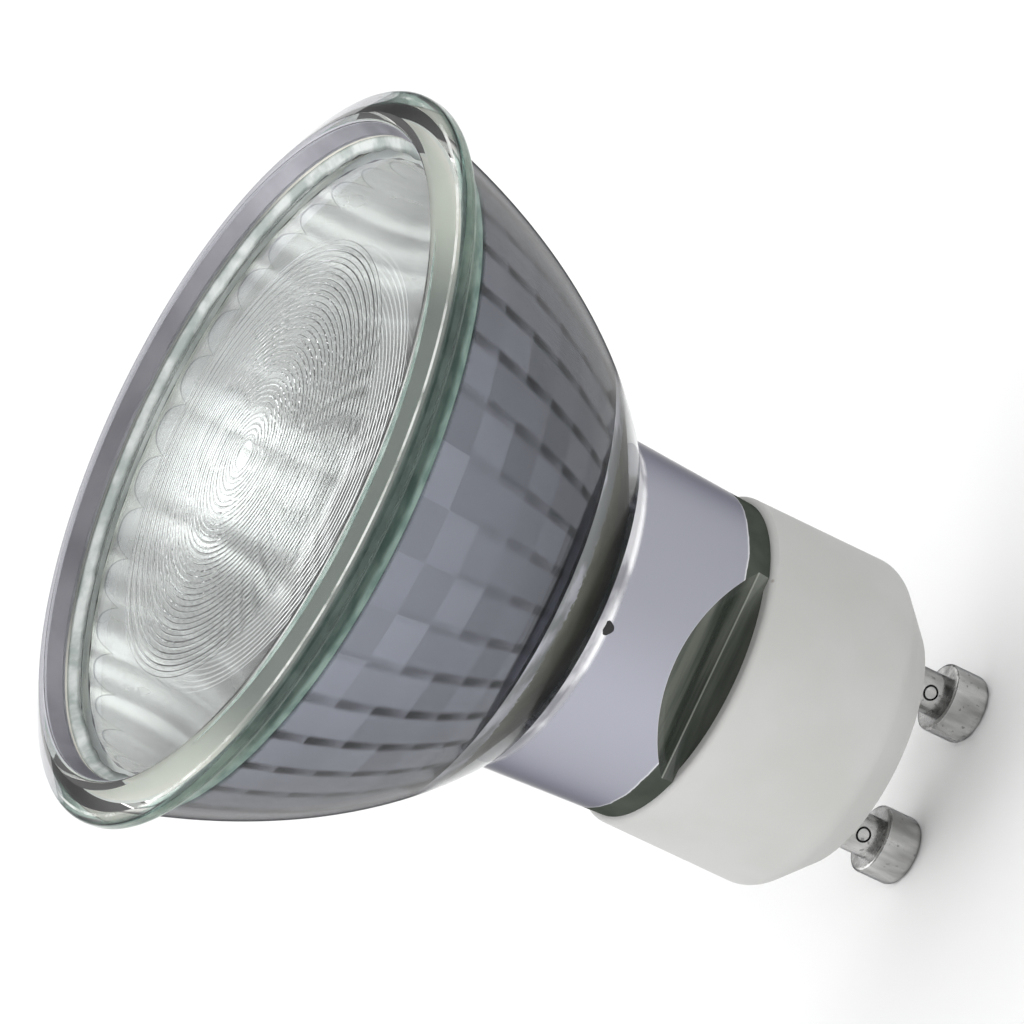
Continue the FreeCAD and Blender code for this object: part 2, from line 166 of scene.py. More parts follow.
# Filament coil, along the arch of the CAD filament
COIL_RADIUS = 0.41
COIL_WIRE_RADIUS = 0.085
COIL_PITCH = 0.3
COIL_TURN_STEPS = 14
COIL_SIDES = 6
COIL_START_RADIUS = 0.15
COIL_START_GROWTH = 0.15
ARCH_HALF_SPAN = 1.8
ARCH_LEG = 5.0

# Scorched speck on the shoulder
SPECK_PLACE = Vector((-0.05, -NECK_TOP_RADIUS, SHOULDER_Z + 0.05))
SPECK_HALF = Vector((0.55, 0.2, 0.6))
SPECK_UNEVENNESS = 0.3
SPECK_WAVES = 1.7

SEGMENTS = 360
BOWL_STEPS = 40
CORNER_STEPS = 5


def ellipse_radius(low, high, centre_z):
    """Radius at a height, for an ellipse of revolution through two profile points."""
    low_drop = (low[1] - centre_z) ** 2
    high_drop = (high[1] - centre_z) ** 2
    slope = (high[0] ** 2 - low[0] ** 2) / (low_drop - high_drop)
    square = low[0] ** 2 + slope * low_drop
    return lambda z: math.sqrt(square - slope * (z - centre_z) ** 2)


def spaced(low, high, count):
    """Even steps from low to high, both ends counted."""
    return [low + (high - low) * i / (count - 1) for i in range(count)]


def rounded(outline):
    """Profile points from (radius, height, rounding) corners, with an arc in place of each rounded corner."""
    points = []
    for i, (r, z, rounding) in enumerate(outline):
        corner = Vector((r, z))
        if not rounding:
            points.append(corner)
            continue
        back = (Vector(outline[i - 1][:2]) - corner).normalized()
        ahead = (Vector(outline[i + 1][:2]) - corner).normalized()
        half = back.angle(ahead) / 2
        inward = (back + ahead).normalized()
        middle = corner + inward * (rounding / math.sin(half))
        sweep = math.copysign(math.pi / 2 - half, back.cross(ahead))
        for turn in spaced(sweep, -sweep, CORNER_STEPS):
            spoke = -inward * rounding
            points.append(middle + Vector((
                spoke.x * math.cos(turn) - spoke.y * math.sin(turn),
                spoke.x * math.sin(turn) + spoke.y * math.cos(turn))))
    return points


def new_object(name, bm, materials, smooth=True):
    mesh = bpy.data.meshes.new(name)
    bm.to_mesh(mesh)
    bm.free()
    for material in materials:
        mesh.materials.append(material)
    if smooth:
        mesh.polygons.foreach_set("use_smooth", [True] * len(mesh.polygons))
    obj = bpy.data.objects.new(name, mesh)
    scene.collection.objects.link(obj)
    return obj


def dress(obj, node=None):
    """Fixes a piece to the lamp's body, in place of a CAD node if one is named."""
    if node:
        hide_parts(node)
    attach(obj, "root")


def turned(profile, zones, closed=True, shape=None):
    """Bmesh of a profile turned about Z.

    zones gives the material of each step along the profile, and shape may move the points of a ring.
    """
    bm = bmesh.new()
    rings = []
    for k, (r, z) in enumerate(profile):
        if r < 1e-6:
            rings.append([bm.verts.new((0, 0, z * MM))])
            continue
        ring = []
        for i in range(SEGMENTS):
            angle = FACET_PHASE + 2 * math.pi * i / SEGMENTS
            local_r, local_z = shape(k, i, r, z) if shape else (r, z)
            x, y = local_r * math.cos(angle), local_r * math.sin(angle)
            ring.append(bm.verts.new((x * MM, y * MM, local_z * MM)))
        rings.append(ring)
    pairs = list(zip(rings, rings[1:]))
    if closed:
        pairs.append((rings[-1], rings[0]))
    for zone, (low, high) in zip(zones, pairs):
        for i in range(SEGMENTS):
            j = (i + 1) % SEGMENTS
            corners = [low[i % len(low)], low[j % len(low)], high[j % len(high)], high[i % len(high)]]
            unique = [v for n, v in enumerate(corners) if v not in corners[:n]]
            bm.faces.new(unique).material_index = zone
    bm.verts.index_update()
    bmesh.ops.recalc_face_normals(bm, faces=bm.faces)
    return bm


# Node helpers


def node_material(name, **values):
    """Material with its shader's own values set by name."""
    material = bpy.data.materials.new(name)
    material.use_nodes = True
    tree = material.node_tree
    shader = tree.nodes["Principled BSDF"]
    for key, value in values.items():
        shader.inputs[key.replace("_", " ").title().replace("Ior", "IOR")].default_value = value
    return material, tree, shader


def add(tree, kind, **properties):
    made = tree.nodes.new(kind)
    for name, value in properties.items():
        setattr(made, name, value)
    return made


def feed(tree, socket, source):
    """Sets a socket to a number or a colour, or links it to another socket."""
    if isinstance(source, bpy.types.NodeSocket):
        tree.links.new(source, socket)
    elif isinstance(source, tuple):
        socket.default_value = (*source, 1)
    else:
        socket.default_value = source


def sum_of(tree, operation, *sources):
    """Result of one arithmetic step."""
    made = add(tree, "ShaderNodeMath", operation=operation)
    for socket, source in zip(made.inputs, sources):
        feed(tree, socket, source)
    return made.outputs["Value"]


def times(tree, first, second):
    return sum_of(tree, "MULTIPLY", first, second)


def less(tree, first, second):
    return sum_of(tree, "SUBTRACT", first, second)


def apart(tree, first, second):
    """How far apart two values are."""
    return sum_of(tree, "ABSOLUTE", less(tree, first, second))


def between(tree, source, low, high, to_low=0.0, to_high=1.0):
    """Soft step of a value from one end of a range to the other."""
    made = add(tree, "ShaderNodeMapRange", interpolation_type="SMOOTHSTEP")
    feed(tree, made.inputs["Value"], source)
    for socket, value in zip(("From Min", "From Max", "To Min", "To Max"), (low, high, to_low, to_high)):
        made.inputs[socket].default_value = value
    return made.outputs["Result"]


def above(tree, source, low, high):
    """Soft step up, from 0 to 1, between two places in millimetres."""
    return between(tree, source, low * MM, high * MM)


def within(tree, source, low, high):
    """Soft step down, from 1 to 0, between two places in millimetres."""
    return between(tree, source, low * MM, high * MM, 1.0, 0.0)


def mixed(tree, share, first, second):
    """Colour part of the way from the first to the second."""
    made = add(tree, "ShaderNodeMix", data_type="RGBA")
    feed(tree, made.inputs["Factor"], share)
    feed(tree, made.inputs[6], first)
    feed(tree, made.inputs[7], second)
    return made.outputs[2]


def attribute(tree, name, output):
    """Value that a mesh carries under a name."""
    return add(tree, "ShaderNodeAttribute", attribute_name=name).outputs[output]


def place_of(tree):
    """The object's own coordinates, in metres."""
    return add(tree, "ShaderNodeTexCoord").outputs["Object"]


def split(tree, vector):
    made = add(tree, "ShaderNodeSeparateXYZ")
    tree.links.new(vector, made.inputs["Vector"])
    return made.outputs


def noise_on(tree, scale, detail=3.0, stretch=(1, 1, 1)):
    """Noise in the object's own coordinates. Scale is in waves per metre."""
    squeeze = add(tree, "ShaderNodeMapping")
    squeeze.inputs["Scale"].default_value = stretch
    tree.links.new(place_of(tree), squeeze.inputs["Vector"])
    made = add(tree, "ShaderNodeTexNoise")
    made.inputs["Scale"].default_value = scale
    made.inputs["Detail"].default_value = detail
    tree.links.new(squeeze.outputs["Vector"], made.inputs["Vector"])
    return made.outputs["Fac"]


def bump(tree, shader, source, distance):
    made = add(tree, "ShaderNodeBump")
    made.inputs["Distance"].default_value = distance * MM
    tree.links.new(source, made.inputs["Height"])
    tree.links.new(made.outputs["Normal"], shader.inputs["Normal"])


def edge_on(tree):
    """How far a glass surface is turned away from the eye, from 0 to 1."""
    return add(tree, "ShaderNodeLayerWeight").outputs["Facing"]


def aside_of(tree):
    """How far round from the lamp's Y axis a point lies: 0 on that axis and 1 on the X axis."""
    x, y, _ = split(tree, place_of(tree))
    x_square = times(tree, x, x)
    return sum_of(tree, "DIVIDE", x_square, sum_of(tree, "MULTIPLY_ADD", y, y, x_square))


def specked(tree, tone, speck, scale):
    """A tone with a few small specks of another, each in its own cell."""
    cells = add(tree, "ShaderNodeTexVoronoi")
    cells.inputs["Scale"].default_value = scale
    tree.links.new(place_of(tree), cells.inputs["Vector"])
    few = between(tree, split(tree, cells.outputs["Color"])[0], *SPECK_CHANCE)
    spot = times(tree, few, between(tree, cells.outputs["Distance"], *SPECK_REACH, 1.0, 0.0))
    return mixed(tree, spot, tone, speck)


# Materials: where one look gives way to another, in millimetres, and the values that several share

GLASS_IOR = 1.5
RIM_IOR = 1.4
BOWL_IOR = 1.15
EDGE_TINT = (0.35, 0.35, 0.37, 1.0)
SPECK_CHANCE = (0.955, 0.965)
SPECK_REACH = (0.05, 0.1)
CERAMIC_SPECK_SCALE = 420.0
FAR_SIDE_START = (0.0, 8.0)
BEVEL_START = (FLANGE_FRONT_Z + 0.1, FLANGE_FRONT_Z + 0.2)
RIM_HIGHLIGHT_Z = FLANGE_FRONT_Z + 0.3
RIM_HIGHLIGHT_WIDTH = (0.03, 0.06)
GREEN_START = (FLANGE_BACK_Z - 1.9, FLANGE_BACK_Z - 1.6)
DARK_EDGE_SHADE_START = (SHOULDER_Z + 3.0, SHOULDER_Z + 5.0)
FLUTE_ARCH_EDGE = (0.0, 0.05)
FLUTE_SHADE_LINE_WIDTH = (0.05, 0.12)
NECK_COAT_OVERLAP = 0.15
NECK_COAT_RAGGEDNESS = 0.35
NECK_COAT_EDGE = (0.02, 0.1)
NECK_LINE_WIDTH = (0.08, 0.22)
NECK_SHADE_START = (-4.5, 3.0)
FILLET_HIGHLIGHT_START = (SHOULDER_Z - 0.5, SHOULDER_Z - 0.1)
FLOOR_DOT_REACH = 0.9
FLOOR_COAT_EDGE = (FLOOR_COAT_END_Z - 0.05, FLOOR_COAT_END_Z + 0.05)
CRIMP_SHADE_WIDTH = (0.05, 0.09)
PIN_FRONT_END = (-1.0, -0.8)
CREAM_LIGHT_START = (0.5 * RIM_RADIUS, 0.75 * RIM_RADIUS)
SEAT_END = (LENS_SEAT_Z + 0.2, LENS_SEAT_Z + 0.6)
FOLD_HIGHLIGHT_WIDTH = (0.03, 0.1)


def clear_glass(name, tint, wave_scale, wave_depth):
    """Clear glass with a faint waviness."""
    material, tree, shader = node_material(name, roughness=0.0, ior=GLASS_IOR, transmission_weight=1.0)
    feed(tree, shader.inputs["Base Color"], tint)
    bump(tree, shader, noise_on(tree, wave_scale), wave_depth)
    return material


def green_streaks(tree):
    """Green of thick glass looked into from its edge."""
    deep, pale = (0.06, 0.115, 0.097), (0.2, 0.31, 0.27)
    streaks = between(tree, noise_on(tree, 500.0, 4.0, (1, 1, 3)), 0.35, 0.7)
    return mixed(tree, streaks, deep, pale)


def rim_glass_material():
    """Glass of the rim: near side green with a broken bright line of painted highlight, near bevel clear, far
    side lilac.
    """
    clear, lilac, bright = (1.0, 0.99, 0.94), (0.42, 0.42, 0.46), (0.85, 0.88, 0.87)
    material, tree, shader = node_material("rim_glass", roughness=0.0, ior=RIM_IOR, specular_ior_level=0.0)
    _, y, z = split(tree, place_of(tree))
    far = above(tree, y, *FAR_SIDE_START)
    near_tint = mixed(tree, above(tree, z, *BEVEL_START), green_streaks(tree), clear)
    tint = mixed(tree, far, near_tint, lilac)
    # Painted highlight: a broken bright line along the near side, opaque where it shows
    line = within(tree, apart(tree, z, RIM_HIGHLIGHT_Z * MM), *RIM_HIGHLIGHT_WIDTH)
    line = times(tree, line, less(tree, 1.0, far))
    line = times(tree, line, between(tree, noise_on(tree, 300.0, 4.0), 0.38, 0.62, 0.1, 0.65))
    tree.links.new(mixed(tree, line, tint, bright), shader.inputs["Base Color"])
    tree.links.new(less(tree, 1.0, line), shader.inputs["Transmission Weight"])
    return material


def bowl_glass_material():
    """Glass of the bowl's outside: clear, green just under the rim, dark and closed when seen edge on, a
    painted shade along its outline.
    """
    clear, dark = (0.97, 0.99, 0.98), (0.07, 0.07, 0.077)
    material, tree, shader = node_material("bowl_glass", roughness=0.0, ior=BOWL_IOR, specular_ior_level=0.0)
    z = split(tree, place_of(tree))[2]
    edge = edge_on(tree)
    above_shoulder = above(tree, z, *DARK_EDGE_SHADE_START)
    # Painted shade: dark, then opaque, where the glass is seen edge on above the shoulder
    shade = times(tree, above_shoulder, between(tree, edge, 0.5, 0.85))
    closed = times(tree, above_shoulder, between(tree, edge, 0.8, 0.95))
    bowl = mixed(tree, shade, clear, dark)
    tint = mixed(tree, above(tree, z, *GREEN_START), bowl, green_streaks(tree))
    tree.links.new(tint, shader.inputs["Base Color"])
    tree.links.new(less(tree, 1.0, closed), shader.inputs["Transmission Weight"])
    return material


def faceted_coat():
    """Back of the mirror coat, seen through the glass.

    Facets differ in tone, partly painted light. Low down, and towards +X and -X, painted shade makes them
    darker and gives them dark sides.
    """
    dark_panel, pale_panel = (0.125, 0.13, 0.15), (0.33, 0.34, 0.4)
    shade, side_shade = (0.08, 0.08, 0.09), (0.03, 0.03, 0.033)
    material, tree, shader = node_material("coat_back", metallic=1.0, roughness=0.04)
    tone = attribute(tree, "tone", "Fac")
    across, along, _ = split(tree, attribute(tree, "facet", "Vector"))
    from_side = sum_of(tree, "MINIMUM", across, less(tree, 1.0, across))
    side = between(tree, from_side, 0.05, 0.18, 1.0, 0.0)
    side = times(tree, side, between(tree, along, 0.2, 1.0, 1.0, 0.35))
    z = split(tree, place_of(tree))[2]
    lowness = sum_of(tree, "DIVIDE", less(tree, LENS_SEAT_Z * MM, z), (LENS_SEAT_Z - FACET_END_Z) * MM)
    # Painted shade: grows low down and towards +X and -X, darkening the panels and painting dark sides on them
    painted_shade = sum_of(tree, "MULTIPLY_ADD", lowness, 0.4, aside_of(tree))
    side = times(tree, side, between(tree, painted_shade, 0.05, 0.6))
    panel = mixed(tree, tone, dark_panel, pale_panel)
    panel = mixed(tree, between(tree, painted_shade, 0.0, 0.9, 0.0, 0.55), panel, shade)
    tree.links.new(mixed(tree, side, panel, side_shade), shader.inputs["Base Color"])
    return material


def facet_mirror():
    """Front of the mirror coat. Facets differ a little in tone, partly painted light, and each column ends in
    an arch outlined by a painted shade line.
    """
    dark_panel, pale_panel, streak = (0.91, 0.92, 0.92), (1.0, 1.0, 1.0), (1.0, 1.0, 0.98)
    over_arch, arch_shade_line = (0.98, 0.98, 0.94), (0.42, 0.44, 0.43)
    material, tree, shader = node_material("coat_front", metallic=0.75)
    tone = attribute(tree, "tone", "Fac")
    across = split(tree, attribute(tree, "facet", "Vector"))[0]
    z = split(tree, place_of(tree))[2]
    from_middle = sum_of(tree, "ABSOLUTE", less(tree, times(tree, across, 2.0), 1.0))
    drop = times(tree, sum_of(tree, "POWER", from_middle, 3.0), FLUTE_ARCH_DROP * MM)
    below = less(tree, less(tree, FLUTE_ARCH_Z * MM, drop), z)
    streaks = between(tree, noise_on(tree, 700.0, 4.0, (1, 1, 0.06)), 0.42, 0.58)
    panel = mixed(tree, tone, dark_panel, pale_panel)
    panel = mixed(tree, times(tree, streaks, 0.5), panel, streak)
    colour = mixed(tree, above(tree, below, *FLUTE_ARCH_EDGE), over_arch, panel)
    # Painted shade line along the arched end of each flute
    line = times(tree, within(tree, sum_of(tree, "ABSOLUTE", below), *FLUTE_SHADE_LINE_WIDTH), 0.8)
    tree.links.new(mixed(tree, line, colour, arch_shade_line), shader.inputs["Base Color"])
    tree.links.new(between(tree, noise_on(tree, 300.0), 0.2, 0.8, 0.18, 0.3), shader.inputs["Roughness"])
    return material


def neck_coat_material():
    """Silver coat on the outside of the neck, with painted shade towards +X and -X (most on +X) and a patchy
    painted highlight on the shoulder's rounding. It ends in a ragged edge with a bright line, above bare glass
    painted dark as the shade inside.
    """
    pale_silver, silver_shade = (0.41, 0.415, 0.475), (0.15, 0.153, 0.17)
    highlight_dark_patch, highlight_pale_patch = (0.4, 0.4, 0.43), (0.95, 0.95, 0.97)
    bright = (0.85, 0.86, 0.86)
    bare_shade_dark, bare_shade_pale = (0.03, 0.036, 0.03), (0.09, 0.1, 0.085)
    material, tree, shader = node_material(
        "neck_coat", ior=GLASS_IOR, specular_ior_level=0.0, specular_tint=EDGE_TINT)
    x, y, z = split(tree, place_of(tree))
    height = less(tree, z, FLAT_FOLD_Z * MM)
    reach = less(tree, sum_of(tree, "ABSOLUTE", y), FLAT_OFFSET * MM)
    above_ramp = less(tree, height, sum_of(tree, "DIVIDE", reach, math.tan(FLAT_RAMP_ANGLE)))
    above_ramp = sum_of(tree, "ADD", above_ramp, NECK_COAT_OVERLAP * MM)
    ragged = times(tree, less(tree, noise_on(tree, 500.0, 4.0), 0.5), NECK_COAT_RAGGEDNESS * MM)
    above_end = sum_of(tree, "ADD", less(tree, z, NECK_COAT_END_Z * MM), ragged)
    inside = sum_of(tree, "MINIMUM", above_ramp, above_end)
    coated = above(tree, inside, *NECK_COAT_EDGE)
    line = times(tree, coated, within(tree, inside, *NECK_LINE_WIDTH))
    # Painted highlight: a pale, less metallic band in patches on the shoulder's rounding
    fillet_highlight = above(tree, z, *FILLET_HIGHLIGHT_START)
    # Painted shade: darker towards +X and -X, and more on the +X side
    shade = between(tree, aside_of(tree), 0.1, 0.95, 0.0, 0.2)
    shade = sum_of(tree, "MAXIMUM", shade, times(tree, above(tree, x, *NECK_SHADE_START), 0.28))
    silver = mixed(tree, shade, pale_silver, silver_shade)
    patches = between(tree, noise_on(tree, 160.0, 4.0), 0.42, 0.56)
    silver = mixed(tree, fillet_highlight, silver, mixed(tree, patches, highlight_dark_patch, highlight_pale_patch))
    silver = mixed(tree, times(tree, line, 0.7), silver, bright)
    # Bare glass painted dark: the shade of the unlit inside of the neck
    bare = mixed(tree, noise_on(tree, 400.0), bare_shade_dark, bare_shade_pale)
    tree.links.new(mixed(tree, coated, bare, silver), shader.inputs["Base Color"])
    metallic = times(tree, coated, less(tree, 1.0, times(tree, fillet_highlight, 0.6)))
    tree.links.new(metallic, shader.inputs["Metallic"])
    tree.links.new(between(tree, noise_on(tree, 220.0), 0.2, 0.8, 0.1, 0.2), shader.inputs["Roughness"])
    return material


def floor_coat_material():
    """Bowl floor seen through the shoulder: a patchy strip of coat with a dotted end, then bare olive glass,
    its green tint darkened by painted shade of the dim inside behind it.
    """
    dark_olive, pale_olive = (0.14, 0.14, 0.11), (0.32, 0.32, 0.27)
    dark_coat, pale_coat = (0.36, 0.37, 0.38), (0.74, 0.74, 0.81)
    material, tree, shader = node_material("floor_coat", roughness=0.3, ior=GLASS_IOR)
    z = split(tree, place_of(tree))[2]
    dots = times(tree, less(tree, noise_on(tree, 3500.0, 2.0), 0.5), FLOOR_DOT_REACH * MM)
    coated = above(tree, sum_of(tree, "ADD", z, dots), *FLOOR_COAT_EDGE)
    # Partly the glass's green tint, partly painted shade of the dim inside behind it
    olive = mixed(tree, noise_on(tree, 500.0), dark_olive, pale_olive)
    patches = between(tree, noise_on(tree, 220.0, 4.0), 0.42, 0.58)
    coat = mixed(tree, patches, dark_coat, pale_coat)
    tree.links.new(mixed(tree, coated, olive, coat), shader.inputs["Base Color"])
    tree.links.new(times(tree, coated, 0.3), shader.inputs["Metallic"])
    return material


def metal(name, dark, light, roughness, scale, stretch=(1, 1, 1), grain=0.0):
    """Metal with a mottled tone and roughness, and a darker tint at grazing angles."""
    material, tree, shader = node_material(name, metallic=1.0, specular_tint=EDGE_TINT)
    mottle = noise_on(tree, scale, 5.0, stretch)
    tree.links.new(mixed(tree, between(tree, mottle, 0.3, 0.7), dark, light), shader.inputs["Base Color"])
    tree.links.new(between(tree, mottle, 0.2, 0.8, *roughness), shader.inputs["Roughness"])
    if grain:
        bump(tree, shader, mottle, grain)
    return material


def pin_metal():
    """Nickel of the pins, pitted and streaked, with a dark line of painted shade round the crimp mark on the -Y
    side.
    """
    dark, light = (0.32, 0.32, 0.31), (0.66, 0.66, 0.65)
    pit, crimp = (0.12, 0.12, 0.12), (0.02, 0.02, 0.02)
    material = metal("pin_nickel", dark, light, (0.14, 0.32), 900.0, stretch=(1, 1, 0.25), grain=0.03)
    tree = material.node_tree
    shader = tree.nodes["Principled BSDF"]
    plain = shader.inputs["Base Color"].links[0].from_socket
    x, y, z = split(tree, place_of(tree))
    aside = less(tree, sum_of(tree, "ABSOLUTE", x), PIN_SPACING / 2 * MM)
    rise = less(tree, z, CRIMP_HEIGHT * MM)
    from_middle = sum_of(tree, "SQRT", sum_of(tree, "MULTIPLY_ADD", aside, aside, times(tree, rise, rise)))
    # Painted shade: a dark line round the crimp mark, on the -Y side only
    ring = within(tree, apart(tree, from_middle, CRIMP_RADIUS * MM), *CRIMP_SHADE_WIDTH)
    ring = times(tree, ring, within(tree, y, *PIN_FRONT_END))
    pits = between(tree, noise_on(tree, 2600.0, 3.0), 0.62, 0.7)
    worn = mixed(tree, times(tree, pits, 0.6), plain, pit)
    tree.links.new(mixed(tree, ring, worn, crimp), shader.inputs["Base Color"])
    return material


def matt(name, dark, light, scale, roughness, grain, speck=None):
    """Unglazed ceramic, cement or rubber: finely grained, uneven in tone, perhaps with a few specks."""
    material, tree, shader = node_material(name, roughness=roughness)
    tone = mixed(tree, between(tree, noise_on(tree, scale, 6.0), 0.35, 0.65), dark, light)
    if speck:
        tone = specked(tree, tone, speck, CERAMIC_SPECK_SCALE)
    tree.links.new(tone, shader.inputs["Base Color"])
    bump(tree, shader, noise_on(tree, scale * 12, 4.0), grain)
    return material


def mouth_material():
    """Inside wall of the rim: cream towards +X and -X and grey between, as painted light and shade, pale on the
    lens seat.
    """
    grey, cream, seat = (0.3, 0.31, 0.3), (0.98, 0.96, 0.88), (0.8, 0.84, 0.81)
    material, tree, shader = node_material("mouth_wall", metallic=0.0, roughness=0.3)
    x, _, z = split(tree, place_of(tree))
    # Painted light and shade: cream towards +X and -X, grey between
    wall = mixed(tree, above(tree, sum_of(tree, "ABSOLUTE", x), *CREAM_LIGHT_START), grey, cream)
    tree.links.new(mixed(tree, above(tree, z, *SEAT_END), seat, wall), shader.inputs["Base Color"])
    return material


def bare_glass():
    """Bare glass of the neck's flats, painted dark as the shade inside the neck, with painted reflection
    streaks and a pale line of painted highlight at the fold.
    """
    dark, pale = (0.03, 0.036, 0.03), (0.12, 0.13, 0.112)
    fold, speck = (0.34, 0.36, 0.32), (0.85, 0.85, 0.82)
    material, tree, shader = node_material("neck_glass", roughness=0.06, ior=GLASS_IOR)
    z = split(tree, place_of(tree))[2]
    # Painted shade of the unlit inside, streaked with painted reflections
    reflection_streaks = between(tree, noise_on(tree, 700.0, 3.0, (0.1, 1, 1)), 0.3, 0.7)
    tone = mixed(tree, reflection_streaks, dark, pale)
    # Painted highlight: a pale line along the fold
    line = times(tree, within(tree, apart(tree, z, FLAT_FOLD_Z * MM), *FOLD_HIGHLIGHT_WIDTH), 0.6)
    tone = mixed(tree, line, tone, fold)
    tree.links.new(specked(tree, tone, speck, 700.0), shader.inputs["Base Color"])
    return material


rim_glass = rim_glass_material()
bowl_glass = bowl_glass_material()
coat_back = faceted_coat()
neck_coat = neck_coat_material()
floor_coat = floor_coat_material()
mouth_wall = mouth_material()
neck_glass = bare_glass()
lens_glass = clear_glass("lens_glass", (0.965, 0.995, 0.985), 200.0, 0.0006)
quartz = clear_glass("quartz", (0.98, 0.99, 0.99), 300.0, 0.0004)
coat_front = facet_mirror()
lilac_coat = metal("lilac_coat", (0.6, 0.59, 0.65), (0.72, 0.71, 0.77), (0.4, 0.5), 260.0)
nickel = metal("nickel", (0.36, 0.36, 0.35), (0.66, 0.66, 0.65), (0.2, 0.4), 900.0)
pin_nickel = pin_metal()
tungsten = metal("tungsten", (0.2, 0.2, 0.21), (0.32, 0.32, 0.33), (0.3, 0.5), 2000.0)
molybdenum = metal("molybdenum", (0.4, 0.4, 0.41), (0.52, 0.52, 0.53), (0.25, 0.4), 1500.0)
ceramic = matt("ceramic", (0.46, 0.46, 0.445), (0.5, 0.5, 0.49), 90.0, 0.6, 0.012, (0.3, 0.28, 0.26))
cement = matt("cement", (0.5, 0.49, 0.46), (0.6, 0.59, 0.56), 250.0, 0.85, 0.05)
silicone = matt("silicone", (0.36, 0.41, 0.39), (0.68, 0.72, 0.7), 500.0, 0.2, 0.02)
soot = matt("soot", (0.004, 0.004, 0.004), (0.012, 0.012, 0.012), 900.0, 0.4, 0.02)


# Reflector

bowl_radius_at = ellipse_radius(
    (NECK_TOP_RADIUS, SHOULDER_Z), (BOWL_MOUTH_RADIUS, FLANGE_BACK_Z), BOWL_CENTRE_Z)
FACET_MOUTH_RADIUS = bowl_radius_at(LENS_SEAT_Z) - FACET_MOUTH_WALL
FACET_END_RADIUS = bowl_radius_at(FACET_END_Z) - FACET_END_WALL
MOUTH_RADIUS = FACET_MOUTH_RADIUS + LENS_SEAT_WIDTH
CREST_INSIDE_RADIUS = MOUTH_RADIUS + MOUTH_FLARE_WIDTH
CREST_OUTSIDE_RADIUS = CREST_INSIDE_RADIUS + CREST_WIDTH
RIM, BOWL, BACK_COAT, NECK_COAT, BARE, MOUTH, FLOOR = range(7)
REFLECTOR_MATERIALS = [rim_glass, bowl_glass, coat_back, neck_coat, neck_glass, mouth_wall, floor_coat]


def facet_rows():
    """Corner radius and height of each ring of facet corners, from the mouth to the floor."""
    radius_at = ellipse_radius(
        (FACET_END_RADIUS, FACET_END_Z), (FACET_MOUTH_RADIUS, LENS_SEAT_Z), BOWL_CENTRE_Z)
    rows = []
    for share in spaced(0, 1, FACET_ROWS + 1):
        depth_share = share * (1 + FACET_SHORTENING * (1 - share))
        height = LENS_SEAT_Z - (LENS_SEAT_Z - FACET_END_Z) * depth_share
        rows.append((radius_at(height), height))
    return rows


def chord(i):
    """How far a point of a facet ring lies inside the circle through the ring's corners."""
    step = SEGMENTS // FACET_COLUMNS
    half = math.pi / FACET_COLUMNS
    return math.cos(half) / math.cos(2 * half * (i % step) / step - half)


def outside_zone(z):
    """Zone of the outside, above the spigot, at a height."""
    if z < NECK_COAT_TOP_Z:
        return NECK_COAT
    return BOWL if z < FLANGE_BACK_Z - HAIRLINE else RIM


def reflector_outside():
    """Profile of the outside, from the spigot's foot to the mouth, with the zone of each step."""
    neck = [
        (SPIGOT_RADIUS, SPIGOT_END_Z, 0),
        (SPIGOT_RADIUS, BASE_FRONT_Z, 0),
        (NECK_END_RADIUS, BASE_FRONT_Z, 0),
    ]
    shoulder = [(NECK_TOP_RADIUS, SHOULDER_Z, SHOULDER_ROUNDING)]
    # The shoulder's rounding takes up the first two heights
    heights = spaced(SHOULDER_Z, FLANGE_BACK_Z, BOWL_STEPS)[2:]
    bowl = [(bowl_radius_at(z), z, 0) for z in heights]
    rim = [
        (RIM_RADIUS, FLANGE_BACK_Z, RIM_ROUNDING),
        (RIM_RADIUS, FLANGE_FRONT_Z, RIM_ROUNDING),
        (CREST_OUTSIDE_RADIUS, CREST_Z, CREST_ROUNDING),
        (CREST_INSIDE_RADIUS, CREST_Z, CREST_ROUNDING),
        (MOUTH_RADIUS, CREST_Z - MOUTH_FLARE_HEIGHT, 0),
    ]
    profile = rounded(neck + shoulder + bowl + rim)
    zones = [BARE, BARE]
    for low, high in zip(profile[2:], profile[3:]):
        zones.append(outside_zone((low.y + high.y) / 2))
    return profile, zones


def make_reflector():
    profile, zones = reflector_outside()
    rows = facet_rows()
    facets_from = len(profile) + 1
    profile += [Vector((MOUTH_RADIUS, LENS_SEAT_Z))]
    profile += [Vector(row) for row in rows]
    profile += [Vector((NECK_HOLE_RADIUS, NECK_HOLE_TOP_Z)), Vector((NECK_HOLE_RADIUS, SPIGOT_END_Z))]
    zones += [MOUTH, MOUTH] + [BACK_COAT] * FACET_ROWS + [FLOOR, BARE, BARE]

    def shape(k, i, r, z):
        return (r * chord(i), z) if facets_from <= k <= facets_from + FACET_ROWS else (r, z)

    bm = turned(profile, zones, shape=shape)
    mark_facets(bm, facets_from)
    body = new_object("reflector_body", bm, REFLECTOR_MATERIALS)
    for side in (-1, 1):
        cutter = flat_cutter(side)
        cut = body.modifiers.new("flat", "BOOLEAN")
        cut.object = cutter
        cut.operation = "DIFFERENCE"
        cut.solver = "EXACT"
        applied = bpy.data.meshes.new_from_object(body.evaluated_get(bpy.context.evaluated_depsgraph_get()))
        body.modifiers.clear()
        body.data = applied
        bpy.data.objects.remove(cutter)
    for polygon in body.data.polygons:
        polygon.use_smooth = polygon.material_index not in (BACK_COAT, BARE)
    body.data.set_sharp_from_angle(angle=REFLECTOR_SHARP_ANGLE)
    dress(body, "reflector")


